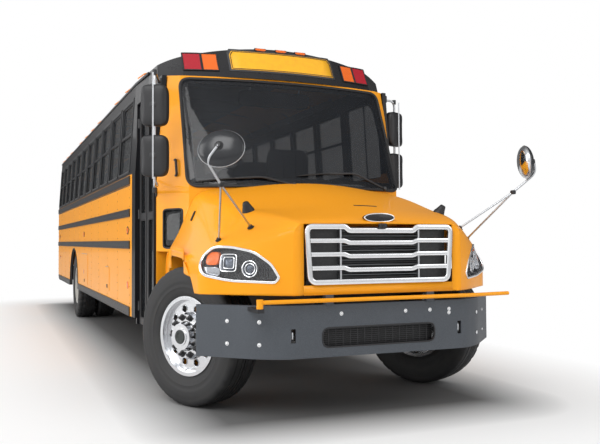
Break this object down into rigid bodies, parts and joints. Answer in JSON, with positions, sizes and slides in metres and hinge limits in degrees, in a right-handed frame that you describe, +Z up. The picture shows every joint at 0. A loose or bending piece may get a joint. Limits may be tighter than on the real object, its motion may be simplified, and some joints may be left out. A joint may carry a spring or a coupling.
{
  "type": "school bus",
  "caption": "Full-size conventional school bus with a front engine, split-sash windows, folding entry door, crossing gate, stop arm and tilting bonnet.",
  "frame": {"origin": "on the ground under the middle of the whole bus", "axes": "+X towards the front bumper, +Y to the driver side, +Z up"},
  "size_m": [11.48, 2.8076, 3.108],
  "materials": {
    "yellow": "gloss school-bus yellow",
    "black_paint": "satin black",
    "grey_paint": "textured dark grey",
    "rail_black": "satin grey black",
    "chassis": "matte black",
    "iron": "bare casting",
    "rubber": "matte",
    "alloy": "polished",
    "rim_paint": "white grey",
    "chrome": "bright",
    "glass": "clear",
    "lamp_glass": "clear lens",
    "lens": "red and amber",
    "grey_floor": "matte floor covering",
    "vinyl": "dark vinyl",
    "plastic": "matte black",
    "steel": "satin",
    "red": "red",
    "roof_paint": "gloss school-bus yellow"
  },
  "bodies": {
    "chassis": {"bench_cushions": "vinyl", "bench_frames": "chassis", "cross_members": "chassis", "dashboard": "plastic", "driver_base": "chassis", "driver_seat": "vinyl", "driveshaft": "steel", "engine_block": "iron", "exhaust": "steel", "floor": "grey_floor", "frame_rails": "chassis", "front_axle": "chassis", "front_bumper": "grey_paint", "front_cap": "black_paint", "front_frame": "yellow", "fuel_tank": "chassis", "gate_bracket": "plastic", "plate_bracket": "plastic", "radiator": "alloy", "rear_axle": "chassis", "rear_bumper": "black_paint", "rear_glass": "glass", "rear_wall": "yellow", "roof": "roof_paint", "rub_rails": "rail_black", "side_glass": "glass", "side_left": "yellow", "side_mirrors": "plastic", "side_right": "yellow", "step_well": "grey_floor", "stop_base": "plastic", "tail_lamps": "lens", "tow_eyes": "chassis", "warning_lamps": "lens", "windshield": "glass"},
    "hood_body": {"hood": "yellow", "grille": "chrome", "headlamps": "lamp_glass", "cross_mirrors": "plastic"},
    "knuckle_left_body": {"knuckle_left": "iron"},
    "knuckle_right_body": {"knuckle_right": "iron"},
    "front_wheel_left": {"tyre_front_left": "rubber", "rim_front_left": "alloy"},
    "front_wheel_right": {"tyre_front_right": "rubber", "rim_front_right": "alloy"},
    "rear_wheels_left": {"rim_rear_left": "rim_paint", "tyre_rear_left_outer": "rubber", "tyre_rear_left_inner": "rubber"},
    "rear_wheels_right": {"rim_rear_right": "rim_paint", "tyre_rear_right_outer": "rubber", "tyre_rear_right_inner": "rubber"},
    "door_leaf_front": {"door_front": "black_paint", "door_front_glass": "glass"},
    "door_leaf_rear": {"door_rear": "black_paint", "door_rear_glass": "glass"},
    "emergency_door": {"rear_door": "yellow", "rear_door_glass": "glass"},
    "stop_sign_arm": {"stop_arm": "red"},
    "gate_arm": {"crossing_gate": "yellow"},
    "steering_column": {"steering_wheel": "plastic"}
  },
  "joints": [
    {"name": "steer_left", "type": "hinge", "parent": "chassis", "child": "knuckle_left_body", "pos_m": [4.45, 0.91, 0.525], "axis": [0, 0, 1], "range_deg": [-67.4, 12.6]},
    {"name": "steer_right", "type": "hinge", "parent": "chassis", "child": "knuckle_right_body", "pos_m": [4.45, -0.91, 0.525], "axis": [0, 0, 1], "range_deg": [-67.4, 12.6]},
    {"name": "spin_front_left", "type": "hinge", "parent": "knuckle_left_body", "child": "front_wheel_left", "pos_m": [4.38557, 1.03429, 0.525], "axis": [-0.4602, 0.8878, 0], "continuous": true},
    {"name": "spin_front_right", "type": "hinge", "parent": "knuckle_right_body", "child": "front_wheel_right", "pos_m": [4.51443, -1.03429, 0.525], "axis": [-0.4602, 0.8878, 0], "continuous": true},
    {"name": "spin_rear_left", "type": "hinge", "parent": "chassis", "child": "rear_wheels_left", "pos_m": [-2.658, 0.8925, 0.525], "axis": [0, 1, 0], "continuous": true},
    {"name": "spin_rear_right", "type": "hinge", "parent": "chassis", "child": "rear_wheels_right", "pos_m": [-2.658, -0.8925, 0.525], "axis": [0, 1, 0], "continuous": true},
    {"name": "steering_turn", "type": "hinge", "parent": "chassis", "child": "steering_column", "pos_m": [3.44, 0.56, 1.67], "axis": [-0.4226, 0, 0.9063], "range_deg": [-1223.2, 236.8]},
    {"name": "door_front_swing", "type": "hinge", "parent": "chassis", "child": "door_leaf_front", "pos_m": [3.57, -1.168, 1.5], "axis": [0, 0, 1], "range_deg": [0, 88]},
    {"name": "door_rear_swing", "type": "hinge", "parent": "chassis", "child": "door_leaf_rear", "pos_m": [2.85, -1.168, 1.5], "axis": [0, 0, 1], "range_deg": [-88, 0]},
    {"name": "emergency_door_swing", "type": "hinge", "parent": "chassis", "child": "emergency_door", "pos_m": [-5.63, -0.46, 1.85], "axis": [0, 0, 1], "range_deg": [0, 110]},
    {"name": "stop_arm_swing", "type": "hinge", "parent": "chassis", "child": "stop_sign_arm", "pos_m": [2.55, 1.264, 1.69], "axis": [0, 0, 1], "range_deg": [-90, 0]},
    {"name": "gate_swing", "type": "hinge", "parent": "chassis", "child": "gate_arm", "pos_m": [5.535, -0.9, 0.838], "axis": [0, 0, 1], "range_deg": [-90, 0]},
    {"name": "hood_tilt", "type": "hinge", "parent": "chassis", "child": "hood_body", "pos_m": [5.513, 0, 0.872], "axis": [0, 1, 0], "range_deg": [0, 60]}
  ],
  "couplings": [
    {"joint": "steer_right", "follows": "steer_left", "ratio": 1},
    {"joint": "steering_turn", "follows": "steer_left", "ratio": 18},
    {"joint": "door_rear_swing", "follows": "door_front_swing", "ratio": -1}
  ]
}
